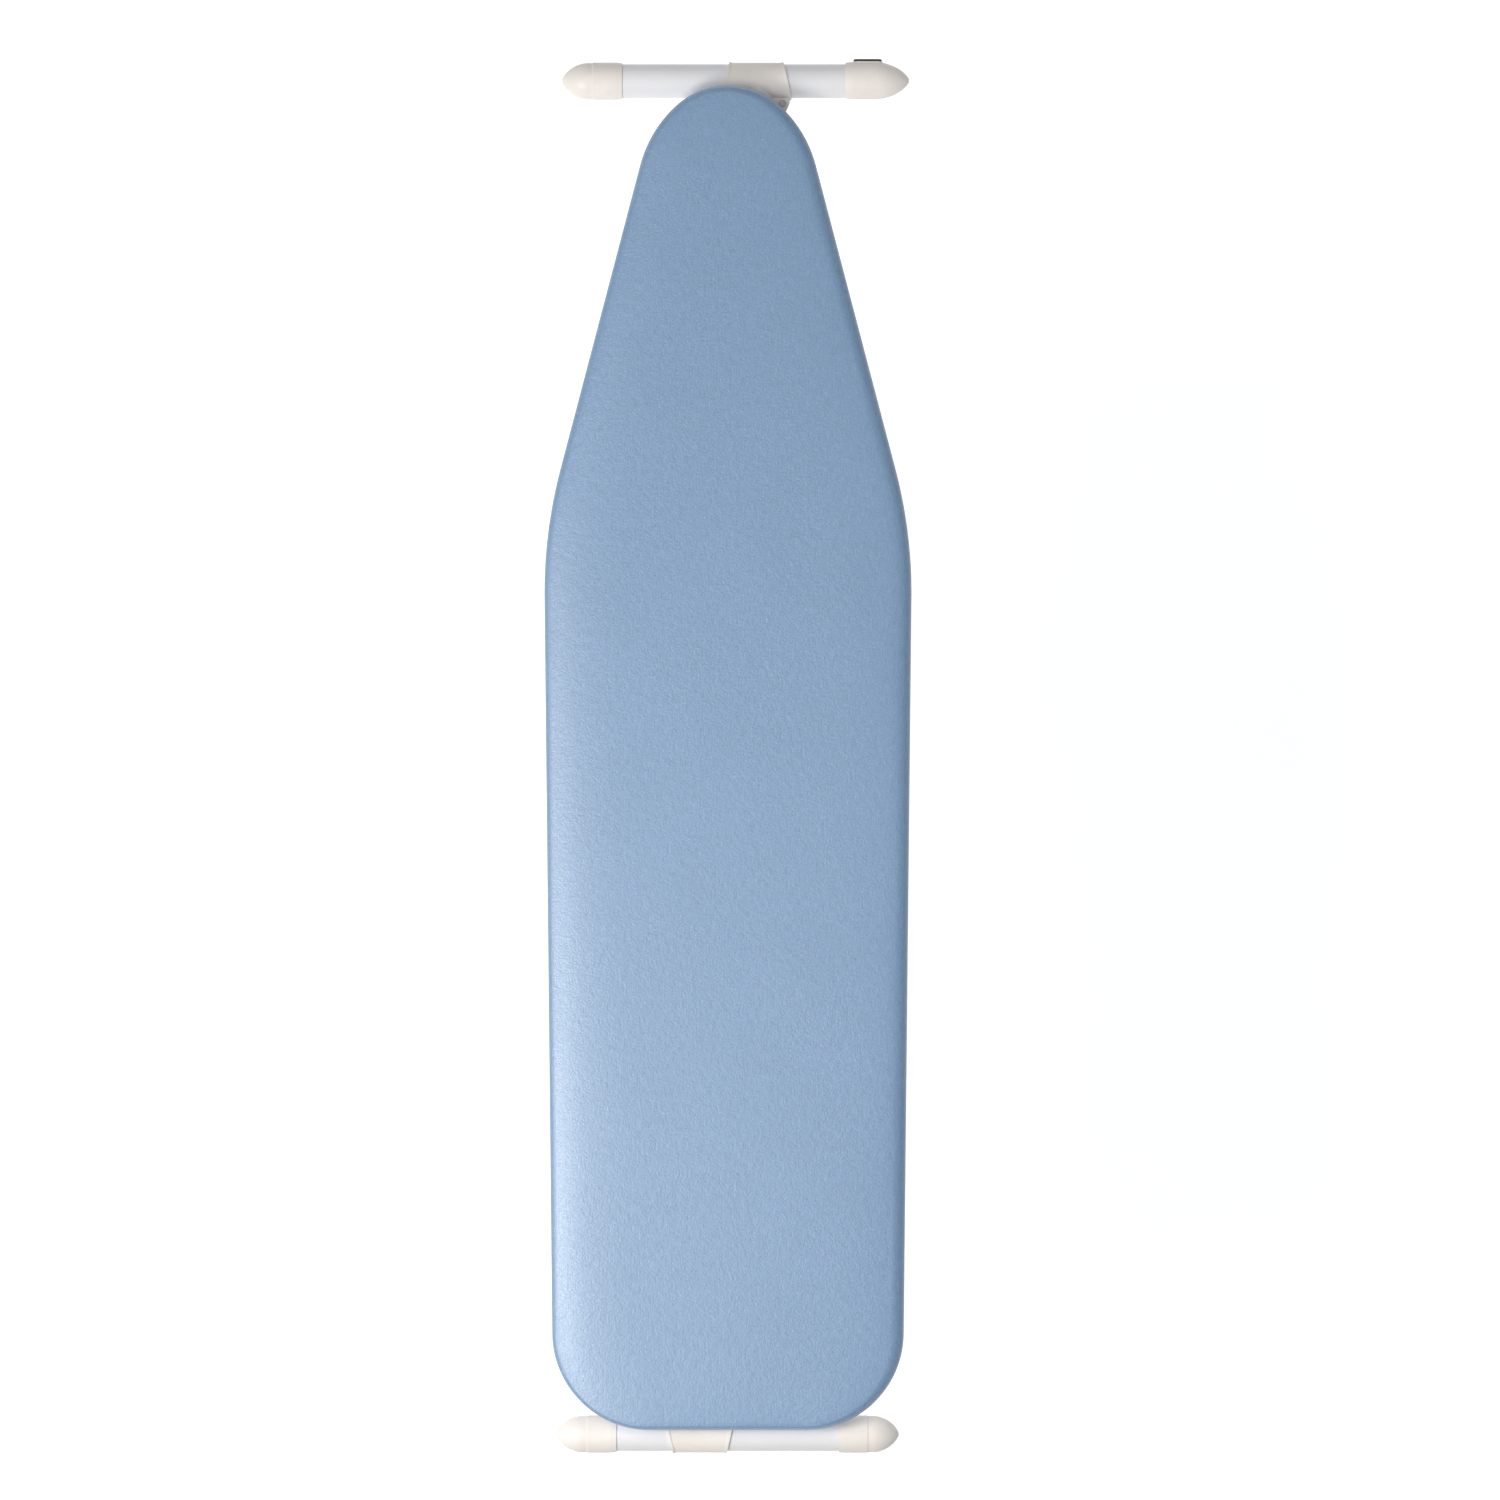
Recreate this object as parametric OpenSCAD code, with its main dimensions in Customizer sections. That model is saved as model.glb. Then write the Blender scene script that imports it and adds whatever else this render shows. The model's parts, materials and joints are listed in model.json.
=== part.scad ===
// Folding ironing board on two crossed T-shaped legs.
// Folded flat it rests on the floor at z = 0 with the ironing face up. +Y points to the nose, +X to the
// right of someone looking down with the nose away from them. Units are millimetres.

/* [Covered top] */
// Length of the covered top, nose tip to tail edge
top_len = 1300; // [1200:5:1400]
// Width of the covered top at its widest
top_w = 355; // [330:1:380]
// Radius of the nose's tip
nose_r = 74; // [60:1:80]
// Radius of the nose's sides
nose_side_r = 119; // [95:1:140]
// Slope at which the tip's arc passes into the side arcs
nose_join = 48; // [40:1:60]
// Angle of each tapering side to the long axis
nose_angle = 14.7; // [12:0.1:17]
// Radius of the shoulder between the taper and the side
shoulder_r = 470; // [300:10:600]
// Angle by which each side narrows towards the tail
side_angle = 0.6; // [0:0.02:1]
// Radius of the tail corners
tail_r = 94; // [60:1:110]

/* [Layers of the top] */
// Thickness of the cover cloth
cover_t = 0.8; // [0.6:0.1:1.2]
// Thickness of the foam pad
pad_t = 5.1; // [4:0.1:8]
// Thickness of the sheet steel
sheet_t = 0.8; // [0.7:0.1:1.2]
// Depth of the edge frame under the panel
rim_h = 17; // [15:0.5:20]
// Width of the edge frame's turned-in lip
rim_lip = 8; // [5:0.5:12]
// Width of the hem that turns in under the edge frame's lip
hem_w = 9; // [5:0.5:9]
// Diameter of a ventilation hole
vent_d = 9; // [6:0.5:12]
// Distance between ventilation holes along a row
vent_pitch = 34; // [30:1:50]

/* [Legs] */
// Leg length from its top pivot to the crossing pivot
leg_upper = 342; // [320:1:350]
// Leg length from the crossing pivot to the foot bar
leg_lower = 656.8; // [650:0.1:670]
// Outer diameter of a leg tube
leg_d = 30; // [28:0.5:30]
// Wall of the leg and foot tubes
tube_wall = 1.2; // [1:0.1:2]
// Distance from the middle of the board to a leg's axis
leg_x = 27.5; // [27:0.5:30]
// Slope of the legs when the board stands at its highest
open_angle = 60; // [50:1:62]
// Diameter of the pivot pins
pivot_d = 8; // [6:0.5:8]

/* [Feet] */
// Length of a foot over its two plain end caps
foot_len = 332.5; // [300:0.5:345]
// Outer diameter of a foot bar
foot_d = 33; // [30:0.5:34]
// Diameter of an end cap
cap_d = 36.4; // [36:0.2:40]
// Length of an end cap
cap_len = 58.5; // [50:0.5:70]
// Length of the levelling cap
level_len = 62; // [56:1:66]
// How much farther out the levelling cap sits than a plain cap
level_extra = 4.5; // [0:0.5:6]
// How far the levelling cap's middle stands off the foot bar's axis
level_offset = 0.5; // [0:0.1:1]
// Thickness of the levelling cap's rubber pad
level_pad_h = 2.3; // [1:0.1:2.5]
// Offset of the nose foot bar from the middle of the board
nose_foot_shift = 5; // [-10:1:6]
// Offset of the tail foot bar from the middle of the board
tail_foot_shift = -0.5; // [-10:0.5:8]

/* [Guide rail and lock bar] */
// Outer width of the guide rail
rail_w = 18; // [16:0.5:18]
// Depth of the guide rail
rail_h = 17.5; // [17:0.5:18]
// Wall of the guide rail
rail_wall = 1.2; // [1:0.1:1.4]
// Thickness of the lock bar
bar_t = 3; // [2:0.5:3]
// Depth of the lock bar's notches
notch_depth = 4.3; // [4:0.1:4.5]

/* [Release lever] */
// Diameter of the lever's wire
lever_d = 6; // [5:0.5:6]
// Where the lever's arm crosses the board
lever_y = -400; // [-410:1:-390]
// Distance from the middle of the board to the lever's axle
lever_axle_x = 62; // [58:1:66]
// Distance from the middle of the board to the grip
grip_x = 128; // [110:1:130]
// Length of the grip
grip_len = 106; // [80:1:110]

/* [Hidden] */
$fn = 48;
gap = 0.1;          // running clearance on a radius
fit = 0.02;         // clearance on the radius of a pressed pin
nut_gap = 0.2;      // room between a leg and the nut or head beside it
pin_end = 5;        // pivot pin beyond the outer side of a leg
slack = 0.5;        // room between layers that only lie against each other
through = 100;      // longer than anything that a cut has to pass

// Heights above the floor, folded
foot_z = cap_d / 2;
pivot_z = 32;
rim_z = 40;
panel_z = rim_z + rim_h;
pad_z = panel_z + sheet_t;
cover_z = pad_z + pad_t + gap;
top_z = cover_z + cover_t;
hem_z = rim_z - 0.4 - cover_t;
rail_z = panel_z - rail_h;

// Legs
leg_r = leg_d / 2;
leg_len = leg_upper + leg_lower;
folded_angle = asin((pivot_z - foot_z) / leg_len);
fold_y = -leg_upper * cos(folded_angle);
cross_z = pivot_z - leg_upper * sin(folded_angle);
foot_r = foot_d / 2;
pin_r = pivot_d / 2;
leg_inner_x = leg_x - leg_r;
leg_outer_x = leg_x + leg_r;
leg_end = 10;       // tube beyond its top pivot
plug_cap = 3;       // plug beyond the tube's end
bush_r = 7;

// Y of the slider's pivot for a leg slope, on the rail
function slider_y(angle) = fold_y + 2 * leg_upper * cos(angle);
work_angles = [60, 52, 45, 38, 31];
notch_angles = concat([open_angle], [for (a = work_angles) if (a < open_angle - 2) a], [folded_angle]);

// The covered top's outline: tangent lines and arcs, drawn in by inset
function arc(cx, cy, r, a0, a1, n, first = 0) =
    [for (i = [first : n]) let (a = a0 + (a1 - a0) * i / n) [cx + r * cos(a), cy + r * sin(a)]];
nose_cy = top_len / 2 - nose_r;
nose_side_cx = -(nose_side_r - nose_r) * cos(nose_join);
nose_side_cy = nose_cy - (nose_side_r - nose_r) * sin(nose_join);
// Distance of the tapering side's line from the origin
taper_reach = nose_side_cx * cos(nose_angle) + nose_side_cy * sin(nose_angle) + nose_side_r;
shoulder_cx = top_w / 2 - shoulder_r;
shoulder_cy = (taper_reach - shoulder_r - shoulder_cx * cos(nose_angle)) / sin(nose_angle);
tail_cy = -top_len / 2 + tail_r;
tail_cx = shoulder_cx + (shoulder_r - tail_r) / cos(side_angle)
        + (tail_cy - shoulder_cy) * tan(side_angle);
function right_side(inset) = concat(
    arc(0, nose_cy, nose_r - inset, 90, nose_join, 8),
    arc(nose_side_cx, nose_side_cy, nose_side_r - inset, nose_join, nose_angle, 7, 1),
    arc(shoulder_cx, shoulder_cy, shoulder_r - inset, nose_angle, -side_angle, 6),
    arc(tail_cx, tail_cy, tail_r - inset, -side_angle, -90, 14));
function outline(inset) = let (right = right_side(inset), n = len(right))
    concat(right, [for (i = [n - 1 : -1 : 1]) [-right[i][0], right[i][1]]]);
function half_width(y) = y > shoulder_cy
    ? min(top_w / 2, (taper_reach - y * sin(nose_angle)) / cos(nose_angle))
    : top_w / 2 - (shoulder_cy - y) * tan(side_angle);

// ---- helpers ----
module slab(inset, z0, z1) {
    translate([0, 0, z0]) linear_extrude(z1 - z0) polygon(outline(inset));
}
module along_y(y0, y1) {
    translate([0, y1, 0]) rotate([90, 0, 0]) linear_extrude(y1 - y0) children();
}
module along_x(x0, x1) {
    translate([x0, 0, 0]) rotate([90, 0, 90]) linear_extrude(x1 - x0) children();
}
module x_rod(r, x0, x1, y = 0, z = 0) {
    translate([min(x0, x1), y, z]) rotate([0, 90, 0]) cylinder(r = r, h = abs(x1 - x0));
}
module y_rod(r, y0, y1, x = 0, z = 0) {
    translate([x, min(y0, y1), z]) rotate([-90, 0, 0]) cylinder(r = r, h = abs(y1 - y0));
}
// A box given by its lowest and highest corners
module block(low, high) {
    translate(low) cube(high - low);
}
// Domed head: its flat side is at the origin and its dome points along +Z
module dome_head() {
    r = 8;
    edge = 2.2;
    rise = 4.8;
    rotate_extrude() polygon(concat([[0, 0], [r, 0], [r, edge]],
        [for (i = [1 : 6]) [r * cos(i * 15), edge + rise * sin(i * 15)]]));
}
module dome_nut() {
    difference() {
        dome_head();
        translate([0, 0, -1]) cylinder(r = pin_r + fit, h = pin_end + 1);
    }
}

// ---- the covered top ----
module cover() {
    color("cornflowerblue") difference() {
        slab(0, hem_z, top_z);
        slab(cover_t, hem_z + cover_t, cover_z);
        slab(hem_w, hem_z - 1, hem_z + cover_t + 1);
    }
}

module foam_pad() {
    color("whitesmoke") slab(cover_t + 0.3, pad_z, pad_z + pad_t);
}

rib_ys = [380, 140, -120, -250, -530];
rib_w = 26;
rib_h = 5;
saddle_ys = [-444, -419];
saddle_w = 6;
saddle_flange_t = 2;
saddle_rivet_dx = 9.5;
saddle_rivet_r = 2;

module vent_holes() {
    row = vent_pitch * cos(30);
    margin = 16;
    keep_out = 13;
    rows = floor(top_len / 2 / row);
    for (j = [-rows : rows]) {
        y = j * row;
        near_rib = len([for (r = rib_ys) if (abs(y - r) < rib_w / 2 + vent_d / 2 + 3) r]) > 0;
        shift = j % 2 == 0 ? 0.5 : 0;
        if (!near_rib && abs(y) < top_len / 2 - margin - 10)
            for (i = [-6 : 6]) {
                x = (i + shift) * vent_pitch;
                in_nose = y < nose_cy || norm([x, y - nose_cy]) < nose_r - margin;
                in_tail = y > tail_cy || abs(x) < tail_cx
                    || norm([abs(x) - tail_cx, y - tail_cy]) < tail_r - margin;
                at_saddle = abs(x + lever_axle_x) < 20 && abs(y - (saddle_ys[0] + saddle_ys[1]) / 2) < 30;
                if (abs(x) > keep_out && abs(x) < half_width(y) - margin && in_nose && in_tail && !at_saddle)
                    translate([x, y]) circle(d = vent_d);
            }
    }
}

module top_panel() {
    color("white") translate([0, 0, panel_z]) linear_extrude(sheet_t) difference() {
        polygon(outline(cover_t + slack));
        vent_holes();
        for (y = saddle_ys, s = [-1, 1])
            translate([-lever_axle_x + s * saddle_rivet_dx, y]) circle(r = saddle_rivet_r + gap / 2);
    }
}

module edge_frame() {
    outer = cover_t + slack;
    color("white") difference() {
        slab(outer, rim_z, panel_z);
        slab(outer + sheet_t, rim_z + sheet_t, panel_z + 1);
        slab(outer + rim_lip, rim_z - 1, rim_z + 2);
    }
}

// Shallow channels across the panel, in a left and a right half beside the rail
module cross_ribs() {
    inner = rail_w / 2 + 2;
    color("white") intersection() {
        union() {
            for (y = rib_ys, s = [-1, 1])
                translate([s * (inner + top_w / 4), y, 0]) difference() {
                    translate([-top_w / 4, -rib_w / 2, panel_z - rib_h]) cube([top_w / 2, rib_w, rib_h]);
                    translate([-top_w / 2, -rib_w / 2 + sheet_t, panel_z - rib_h + sheet_t])
                        cube([top_w, rib_w - 2 * sheet_t, rib_h]);
                }
        }
        slab(cover_t + slack + sheet_t + slack, panel_z - rib_h - 1, panel_z + 1);
    }
}

// ---- guide rail, fixed pivot and lock bar ----
rail_y0 = -432;
rail_y1 = 374;
rail_inner = rail_w / 2 - rail_wall;
rail_mouth = 5;
bar_top = panel_z - rail_wall - 0.5;
bar_edge = bar_top - 8.1;
bar_deep = bar_top - 12.3;
bar_travel = 4.55;
guide_ys = [-200, -60];
guide_r = 2;
guide_z = bar_deep + 3.6;
arm_z = 44;
arm_room = 4.5;

module guide_rail() {
    color("white") difference() {
        along_y(rail_y0, rail_y1) difference() {
            translate([-rail_w / 2, rail_z]) square([rail_w, rail_h]);
            translate([-rail_inner, rail_z + rail_wall]) square([2 * rail_inner, rail_h - 2 * rail_wall]);
            translate([-rail_mouth, rail_z - 1]) square([2 * rail_mouth, rail_wall + 2]);
        }
        block([-rail_w, lever_y - arm_room, rail_z - 1],
              [rail_w, lever_y + arm_room, arm_z + lever_d / 2 + 0.8]);
        for (y = guide_ys) x_rod(guide_r, -rail_w, rail_w, y, guide_z);
        for (y = hanger_rivet_ys) x_rod(hanger_rivet_r, -rail_w, rail_w, y, hanger_rivet_z);
    }
}

hanger_t = 1.2;
hanger_x = rail_w / 2 + 0.05;
hanger_w = 40;
hanger_z0 = pivot_z - 11;
hanger_z1 = panel_z - 2.5;
hanger_rivet_r = 1.6;
hanger_rivet_z = 48;
hanger_rivet_ys = [fold_y - 14, fold_y + 14];

// U-shaped strap round the rail that carries the fixed pivot
module pivot_hanger() {
    out = hanger_x + hanger_t;
    color("silver") difference() {
        along_y(fold_y - hanger_w / 2, fold_y + hanger_w / 2) difference() {
            translate([-out, hanger_z0]) square([2 * out, hanger_z1 - hanger_z0]);
            translate([-hanger_x, hanger_z0 + hanger_t]) square([2 * hanger_x, through]);
        }
        x_rod(pin_r + fit, -through, through, fold_y, pivot_z);
        for (y = hanger_rivet_ys) x_rod(hanger_rivet_r, -through, through, y, hanger_rivet_z);
    }
}

module hanger_rivets() {
    out = hanger_x + hanger_t;
    head_r = 3;
    color("silver") for (y = hanger_rivet_ys, s = [-1, 1]) {
        x_rod(hanger_rivet_r - fit, s * rail_inner, s * out, y, hanger_rivet_z);
        x_rod(head_r, s * (rail_inner - 0.8), s * rail_inner, y, hanger_rivet_z);
        x_rod(head_r, s * out, s * (out + 0.9), y, hanger_rivet_z);
    }
}

// Pin with a flat head on the inner side: side is 1 where the leg lies on the right
module pivot_pin(side, y, head_x) {
    head_r = 7;
    head_t = 1.1;
    union() {
        x_rod(pin_r, -side * head_x, side * (leg_outer_x + pin_end), y, pivot_z);
        x_rod(head_r, -side * (head_x + head_t), -side * head_x, y, pivot_z);
    }
}

module pivot_nut(side, y, z) {
    translate([side * (leg_outer_x + nut_gap), y, z]) rotate([0, side * 90, 0]) dome_nut();
}

module fold_pivot_pin() {
    color("silver") pivot_pin(1, fold_y, hanger_x + hanger_t + fit);
}

module fold_pivot_nut() {
    color("silver") pivot_nut(1, fold_y, pivot_z);
}

module lock_bar_guides() {
    head_r = 3.4;
    head_t = 1;
    color("silver") for (y = guide_ys) {
        x_rod(guide_r - fit, -rail_w / 2, rail_w / 2, y, guide_z);
        for (s = [-1, 1]) x_rod(head_r, s * rail_w / 2, s * (rail_w / 2 + head_t), y, guide_z);
    }
}

notch_w = 5;
notch_ramp = 4;
// Notches from the tail end to the nose end: a ramp towards the tail and a steep wall towards the nose
notch_points = [for (a = notch_angles) let (y = slider_y(a))
    each [[y - notch_w / 2 - notch_ramp, bar_edge], [y - notch_w / 2, bar_edge + notch_depth],
          [y + notch_w / 2, bar_edge + notch_depth], [y + notch_w / 2, bar_edge]]];

module lock_bar() {
    ear = 8;
    tail = lever_y - ear;
    color("silver") along_x(-bar_t / 2, bar_t / 2) difference() {
        polygon(concat(
            [[tail, bar_top], [tail, arm_z - ear], [lever_y + ear, arm_z - ear], [lever_y + ear + 6, bar_deep],
             [-34, bar_deep], [-28, bar_edge]],
            notch_points,
            [[slider_y(folded_angle) + 12, bar_edge], [slider_y(folded_angle) + 12, bar_top]]));
        translate([lever_y, arm_z]) circle(r = lever_d / 2 + 0.4);
        for (y = guide_ys) translate([y, guide_z]) {
            circle(r = guide_r + gap);
            translate([-guide_r - gap, 0]) square([2 * (guide_r + gap), bar_travel]);
            translate([0, bar_travel]) circle(r = guide_r + gap);
        }
    }
}

// ---- release lever ----
bend_r = 8;
axle_end_y = -454;
grip_end_y = lever_y - bend_r - 10 - grip_len;

// Quarter turn of wire in the XY plane round (cx, cy), from angle a0
module wire_bend(cx, cy, a0) {
    translate([cx, cy, arm_z]) rotate([0, 0, a0])
        rotate_extrude(angle = 90) translate([bend_r, 0]) circle(d = lever_d);
}

module release_lever() {
    r = lever_d / 2;
    color("silver") union() {
        y_rod(r, axle_end_y, lever_y - bend_r, -lever_axle_x, arm_z);
        wire_bend(-lever_axle_x + bend_r, lever_y - bend_r, 90);
        x_rod(r, -lever_axle_x + bend_r, grip_x - bend_r, lever_y, arm_z);
        wire_bend(grip_x - bend_r, lever_y - bend_r, 0);
        y_rod(r, grip_end_y + 4, lever_y - bend_r, grip_x, arm_z);
    }
}

module lever_grip() {
    grip_r = 7;
    y0 = grip_end_y;
    y1 = grip_end_y + grip_len;
    color("antiquewhite") translate([grip_x, y0, arm_z]) rotate([-90, 0, 0]) difference() {
        rotate_extrude() polygon(concat([[0, 0], [grip_r - 3, 0]],
            [for (a = [-60 : 30 : 0]) [grip_r - 3 + 3 * cos(a), 3 + 3 * sin(a)]],
            [[grip_r, y1 - y0 - 2], [grip_r - 2, y1 - y0], [0, y1 - y0]]));
        translate([0, 0, 4]) cylinder(r = lever_d / 2 + fit, h = through * 2);
    }
}

module lever_retainer() {
    ring_r = 6;
    color("silver") difference() {
        y_rod(ring_r, axle_end_y + 2, axle_end_y + 3.4, -lever_axle_x, arm_z);
        y_rod(lever_d / 2 + fit, axle_end_y, axle_end_y + 5, -lever_axle_x, arm_z);
    }
}

module lever_saddles() {
    ring_r = 5.6;
    flange_w = 27;
    color("antiquewhite") for (y = saddle_ys) difference() {
        along_y(y - saddle_w / 2, y + saddle_w / 2) translate([-lever_axle_x, 0]) difference() {
            union() {
                translate([0, arm_z]) circle(r = ring_r);
                translate([-ring_r, arm_z]) square([2 * ring_r, panel_z - arm_z]);
                translate([-flange_w / 2, panel_z - saddle_flange_t]) square([flange_w, saddle_flange_t]);
            }
            translate([0, arm_z]) circle(r = lever_d / 2 + gap);
        }
        for (s = [-1, 1])
            translate([-lever_axle_x + s * saddle_rivet_dx, y, 0])
                cylinder(r = saddle_rivet_r + gap / 2, h = through);
    }
}

module saddle_rivets() {
    head_r = 3;
    head_t = 1.2;
    color("silver") for (y = saddle_ys, s = [-1, 1])
        translate([-lever_axle_x + s * saddle_rivet_dx, y, panel_z - saddle_flange_t]) {
            cylinder(r = saddle_rivet_r, h = saddle_flange_t + sheet_t);
            translate([0, 0, -head_t]) cylinder(r = head_r, h = head_t);
        }
}

// Torsion spring round the axle, one tube swept along a helix
spring_wire = 1.2;
spring_r = 5;
spring_turns = 7;
spring_y0 = -440;
spring_y1 = -423;
spring_sides = 6;
spring_steps = 12 * spring_turns;
function spring_point(i, k) =
    let (a = 360 * i / 12, b = 360 * k / spring_sides,
         r = spring_r + spring_wire / 2 * cos(b),
         y = spring_y0 + 0.8 + (spring_y1 - spring_y0 - 1.6) * i / spring_steps + spring_wire / 2 * sin(b))
    [-lever_axle_x + r * cos(a), y, arm_z + r * sin(a)];

module lever_spring() {
    n = spring_sides;
    points = [for (i = [0 : spring_steps], k = [0 : n - 1]) spring_point(i, k)];
    sides = [for (i = [0 : spring_steps - 1], k = [0 : n - 1])
        let (a = i * n + k, b = i * n + (k + 1) % n) each [[a, b, a + n], [b, b + n, a + n]]];
    ends = [[for (k = [0 : n - 1]) n - 1 - k], [for (k = [0 : n - 1]) spring_steps * n + k]];
    color("silver") polyhedron(points, concat(sides, ends));
}

// ---- legs, drawn with the top pivot at the origin and the foot along +Y ----
module as_nose_leg() {
    translate([leg_x, fold_y, pivot_z]) rotate([-folded_angle, 0, 0]) children();
}
module as_tail_leg() {
    translate([-leg_x, -fold_y, pivot_z]) rotate([-folded_angle, 0, 180]) children();
}

module leg_tube() {
    inner_r = leg_r - tube_wall;
    color("white") difference() {
        y_rod(leg_r, -leg_end, leg_len - foot_r - 1.2);
        y_rod(inner_r, -leg_end - 1, leg_len);
        x_rod(pin_r + gap, -leg_d, leg_d);
        x_rod(pin_r + gap, -leg_d, leg_d, leg_upper);
    }
}

// Plug in the tube's top end, bored for the pivot
module leg_plug() {
    depth = 22;
    color("antiquewhite") difference() {
        union() {
            y_rod(leg_r - tube_wall - gap, -leg_end, depth);
            translate([0, -leg_end, 0]) rotate([90, 0, 0]) rotate_extrude() polygon([
                [0, 0], [leg_r, 0], [leg_r, 0.6], [leg_r - 1, 2], [leg_r - 3.5, plug_cap], [0, plug_cap]]);
        }
        x_rod(pin_r + gap, -leg_d, leg_d);
    }
}

module cross_bush() {
    color("antiquewhite") difference() {
        intersection() {
            x_rod(bush_r, -leg_d, leg_d, leg_upper);
            y_rod(leg_r - tube_wall - gap, leg_upper - leg_d, leg_upper + leg_d);
        }
        x_rod(pin_r + gap, -leg_d, leg_d, leg_upper);
    }
}

tee_r = foot_r + 1.5;
tee_sleeve_r = leg_r + 1.7;
tee_len = 80;
tee_plate = 12;
tee_far_w = 25.8;
tee_near_w = 34.7;
tee_plate_w = 32.4;
tee_split = 0.1;
tee_lip = 0.7;
tee_lip_w = 2;
tee_screws = [[25.8, 22], [21.6, 64]];

// Half outline of the tee's plate, measured from the foot bar's axis back along the leg
tee_plate_points = [[0, 8], [tee_plate_w - 1, 8], [tee_plate_w, 14], [tee_plate_w, 21.5],
    [tee_plate_w - 2, 26], [27, 33], [25, 46], [26.5, 57], [26.5, 68], [24, 73], [18, 77], [0, 77]];

// The clamp's round part from above, wider towards the board, with its ends drawn in by inset
module tee_round(inset) {
    polygon([[inset - tee_far_w, tee_r + 2], [tee_far_w - inset, tee_r + 2],
             [tee_near_w - inset, -tee_r - 2], [inset - tee_near_w, -tee_r - 2]]);
}

// Raised lips along the ends of the upper shell's round part
module tee_lips() {
    intersection() {
        x_rod(tee_r + tee_lip, -2 * tee_near_w, 2 * tee_near_w, leg_len);
        translate([0, leg_len, tee_split]) linear_extrude(through) difference() {
            tee_round(0);
            tee_round(tee_lip_w);
        }
    }
}

// Clamp of two shells that holds the foot bar across the end of the leg
module tee_solid() {
    difference() {
        union() {
            intersection() {
                x_rod(tee_r, -2 * tee_near_w, 2 * tee_near_w, leg_len);
                translate([0, leg_len, -through / 2]) linear_extrude(through) tee_round(0);
            }
            tee_lips();
            y_rod(tee_sleeve_r, leg_len - tee_len, leg_len - 2);
            translate([0, leg_len, -tee_plate / 2]) linear_extrude(tee_plate)
                polygon(concat([for (p = tee_plate_points) [p[0], -p[1]]],
                    [for (i = [len(tee_plate_points) - 2 : -1 : 1])
                        [-tee_plate_points[i][0], -tee_plate_points[i][1]]]));
        }
        x_rod(foot_r + gap, -through, through, leg_len);
        y_rod(leg_r + gap, leg_len - tee_len - 1, leg_len - foot_r);
    }
}

module tee_screw_places() {
    for (p = tee_screws, s = [-1, 1]) translate([s * p[0], leg_len - p[1], 0]) children();
}

// side is 1 for the upper shell and -1 for the lower
module tee_shell(side) {
    color("antiquewhite") difference() {
        tee_solid();
        translate([-through, leg_len - through, side > 0 ? tee_split - through : -tee_split])
            cube([2 * through, 2 * through, through]);
        tee_screw_places() translate([0, 0, side > 0 ? -through / 2 : -tee_plate / 2 + 2])
            cylinder(r = side > 0 ? 2.1 : 2.0, h = through);
    }
}

module tee_screw_set() {
    head_r = 3.8;
    head_h = 2.5;
    color("silver") tee_screw_places() difference() {
        union() {
            translate([0, 0, -tee_plate / 2 + 2.5]) cylinder(r = 1.95, h = tee_plate - 2.5);
            translate([0, 0, tee_plate / 2]) cylinder(r1 = head_r, r2 = head_r - 1, h = head_h);
        }
        for (a = [0, 90]) rotate([0, 0, a]) translate([-2.2, -0.45, tee_plate / 2 + head_h - 1.3])
            cube([4.4, 0.9, 2]);
    }
}

// How far the foot bar reaches into a plain cap
bar_in_cap = 31.5;

module foot_bar(middle) {
    half = foot_len / 2 - cap_len + bar_in_cap;
    color("white") difference() {
        x_rod(foot_r, middle - half, middle + half, leg_len);
        x_rod(foot_r - tube_wall, -2 * foot_len, 2 * foot_len, leg_len);
    }
}

cap_r = cap_d / 2;
cap_body_r = cap_r - 0.5;
cap_collar = 28;
cap_dome = 24.5;
cap_bevel = 6;
cap_mouth = 0.6;
// Radius of a cap's nose at a share s of its length, a little more pointed than an ellipse
function dome_r(r, s) = r * pow(1 - pow(s, 1.8), 0.62);
function dome_points(r, z0, z1) = concat(
    [[r, z0]], [for (i = [1 : 9]) [dome_r(r, i / 10), z0 + (z1 - z0) * i / 10]],
    [[2.2, z1 - 0.2], [0, z1]]);

// Bore that takes the foot bar to the given depth, widened at its mouth
module cap_hollow(depth) {
    bottom_room = 1;
    translate([0, 0, -1]) cylinder(r = foot_r + gap, h = depth + bottom_room + 1);
    translate([0, 0, -1]) cylinder(r = foot_r + cap_mouth, h = 2.2);
}

// Cap with its mouth at the origin, closed along +Z
module cap_shape() {
    difference() {
        rotate_extrude() polygon(concat(
            [[0, 0], [cap_r - 0.5, 0], [cap_r - 0.15, cap_bevel - 1.5], [cap_r, cap_bevel],
             [cap_r, cap_collar], [cap_body_r, cap_collar + 0.8]],
            dome_points(cap_body_r, cap_len - cap_dome, cap_len)));
        cap_hollow(bar_in_cap);
    }
}

module foot_cap(middle, side) {
    color("antiquewhite") translate([middle + side * (foot_len / 2 - cap_len), leg_len, 0])
        rotate([0, side * 90, 0]) cap_shape();
}

// Egg-shaped cap that stands off the bar's axis, with a flat for its pad on its far side. Turned on the
// bar, it raises or lowers its corner of the board.
level_land_r = 6;
level_land_y = cap_r + level_offset + 0.15;
level_land_z = [7, 36.5];
// Where the rounded ends of the flat are centred, and a stud of the pad stands
level_ends = [level_land_z[0] + level_land_r, level_land_z[1] - level_land_r];
stud_r = 2;
stud_len = 1.1;
bar_in_level = bar_in_cap - cap_len + level_len - level_extra;

module at_levelling_cap(middle) {
    translate([middle + foot_len / 2 - level_len + level_extra, leg_len, 0]) rotate([0, 90, 0]) children();
}

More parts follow.
